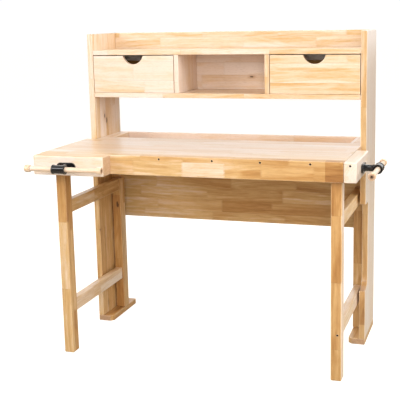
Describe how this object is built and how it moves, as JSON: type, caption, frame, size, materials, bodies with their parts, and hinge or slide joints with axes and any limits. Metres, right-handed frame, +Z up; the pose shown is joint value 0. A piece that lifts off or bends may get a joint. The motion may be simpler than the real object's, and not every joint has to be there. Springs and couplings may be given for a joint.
{
  "type": "toy workbench",
  "caption": "Child's wooden workbench with a drawer hutch, a recessed tool tray, swinging leg frames, a front vise and an end vise.",
  "frame": {"origin": "on the floor, under the middle of the box around the whole bench", "axes": "+Z up, +X along the width from the front vise to the end vise, -Y towards the person working at the bench"},
  "size_m": [1.1038, 0.6734, 1.068],
  "materials": {
    "panel_wood": "clear satin lacquer over finger-jointed boards",
    "top_wood": "clear satin lacquer over finger-jointed boards",
    "frame_wood": "clear satin lacquer",
    "drawer_wood": "clear satin lacquer",
    "plywood": "plain sanded board",
    "handle_wood": "turned and lacquered",
    "black_steel": "black gloss coating",
    "bright_steel": "bright zinc plate"
  },
  "bodies": {
    "carcass": {"side_panel_left": "panel_wood", "side_panel_right": "panel_wood", "foot_board_left": "frame_wood", "foot_board_right": "frame_wood", "hutch_bottom_shelf": "panel_wood", "hutch_top_shelf": "panel_wood", "hutch_back_board": "panel_wood", "hutch_divider_left": "panel_wood", "hutch_divider_right": "panel_wood", "rear_board": "panel_wood", "tray_front_rail": "top_wood", "tray_floor": "plywood", "tray_ledge_left": "top_wood", "tray_ledge_right": "top_wood", "bench_slab": "top_wood", "front_beam": "top_wood", "end_beam_left": "top_wood", "end_beam_right": "top_wood", "rear_beam": "frame_wood", "front_vise_nut_plate": "black_steel", "end_vise_nut_plate": "black_steel", "hinge_left_panel_leaf": "bright_steel", "hinge_right_panel_leaf": "bright_steel"},
    "drawer_left": {"drawer_left_front": "drawer_wood", "drawer_left_side_outer": "drawer_wood", "drawer_left_side_inner": "drawer_wood", "drawer_left_back": "drawer_wood", "drawer_left_bottom": "plywood"},
    "gate_left": {"gate_left_leg": "frame_wood", "gate_left_post": "frame_wood", "gate_left_upper_rail": "frame_wood", "gate_left_lower_rail": "frame_wood", "hinge_left_gate_leaf": "bright_steel"},
    "drawer_right": {"drawer_right_front": "drawer_wood", "drawer_right_side_outer": "drawer_wood", "drawer_right_side_inner": "drawer_wood", "drawer_right_back": "drawer_wood", "drawer_right_bottom": "plywood"},
    "gate_right": {"gate_right_leg": "frame_wood", "gate_right_post": "frame_wood", "gate_right_upper_rail": "frame_wood", "gate_right_lower_rail": "frame_wood", "hinge_right_gate_leaf": "bright_steel"},
    "front_jaw": {"front_vise_jaw": "top_wood", "front_vise_flange": "black_steel", "front_vise_guide_rod_a": "bright_steel", "front_vise_guide_rod_b": "bright_steel"},
    "front_screw": {"front_vise_spindle": "black_steel"},
    "front_handle": {"front_vise_handle_bar": "handle_wood", "front_vise_handle_knob_a": "handle_wood", "front_vise_handle_knob_b": "handle_wood"},
    "end_jaw": {"end_vise_jaw": "top_wood", "end_vise_flange": "black_steel", "end_vise_guide_rod_a": "bright_steel", "end_vise_guide_rod_b": "bright_steel"},
    "end_screw": {"end_vise_spindle": "black_steel"},
    "end_handle": {"end_vise_handle_bar": "handle_wood", "end_vise_handle_knob_a": "handle_wood", "end_vise_handle_knob_b": "handle_wood"}
  },
  "joints": [
    {"name": "drawer_left_slide", "type": "slide", "parent": "carcass", "child": "drawer_left", "axis": [0, -1, 0], "range_m": [0, 0.13]},
    {"name": "drawer_right_slide", "type": "slide", "parent": "carcass", "child": "drawer_right", "axis": [0, -1, 0], "range_m": [0, 0.13]},
    {"name": "gate_left_hinge", "type": "hinge", "parent": "carcass", "child": "gate_left", "pos_m": [-0.5098, 0.27315, 0.27], "axis": [0, 0, 1], "range_deg": [0, 90]},
    {"name": "gate_right_hinge", "type": "hinge", "parent": "carcass", "child": "gate_right", "pos_m": [0.442, 0.27315, 0.27], "axis": [0, 0, 1], "range_deg": [-90, 0]},
    {"name": "front_jaw_slide", "type": "slide", "parent": "carcass", "child": "front_jaw", "axis": [0, -1, 0], "range_m": [0, 0.0701]},
    {"name": "front_screw_turn", "type": "hinge", "parent": "front_jaw", "child": "front_screw", "pos_m": [-0.4304, -0.32165, 0.658], "axis": [0, -1, 0], "range_deg": [0, 5040]},
    {"name": "front_handle_slide", "type": "slide", "parent": "front_screw", "child": "front_handle", "axis": [1, 0, 0], "range_m": [-0.1057, 0.0781]},
    {"name": "end_jaw_slide", "type": "slide", "parent": "carcass", "child": "end_jaw", "axis": [1, 0, 0], "range_m": [0, 0.0701]},
    {"name": "end_screw_turn", "type": "hinge", "parent": "end_jaw", "child": "end_screw", "pos_m": [0.5369, -0.10335, 0.658], "axis": [1, 0, 0], "range_deg": [0, 5040]},
    {"name": "end_handle_slide", "type": "slide", "parent": "end_screw", "child": "end_handle", "axis": [0, 1, 0], "range_m": [-0.0729, 0.1109]}
  ],
  "couplings": [
    {"joint": "front_jaw_slide", "follows": "front_screw_turn", "m_per_rad": 0.00079577},
    {"joint": "end_jaw_slide", "follows": "end_screw_turn", "m_per_rad": 0.00079577}
  ]
}
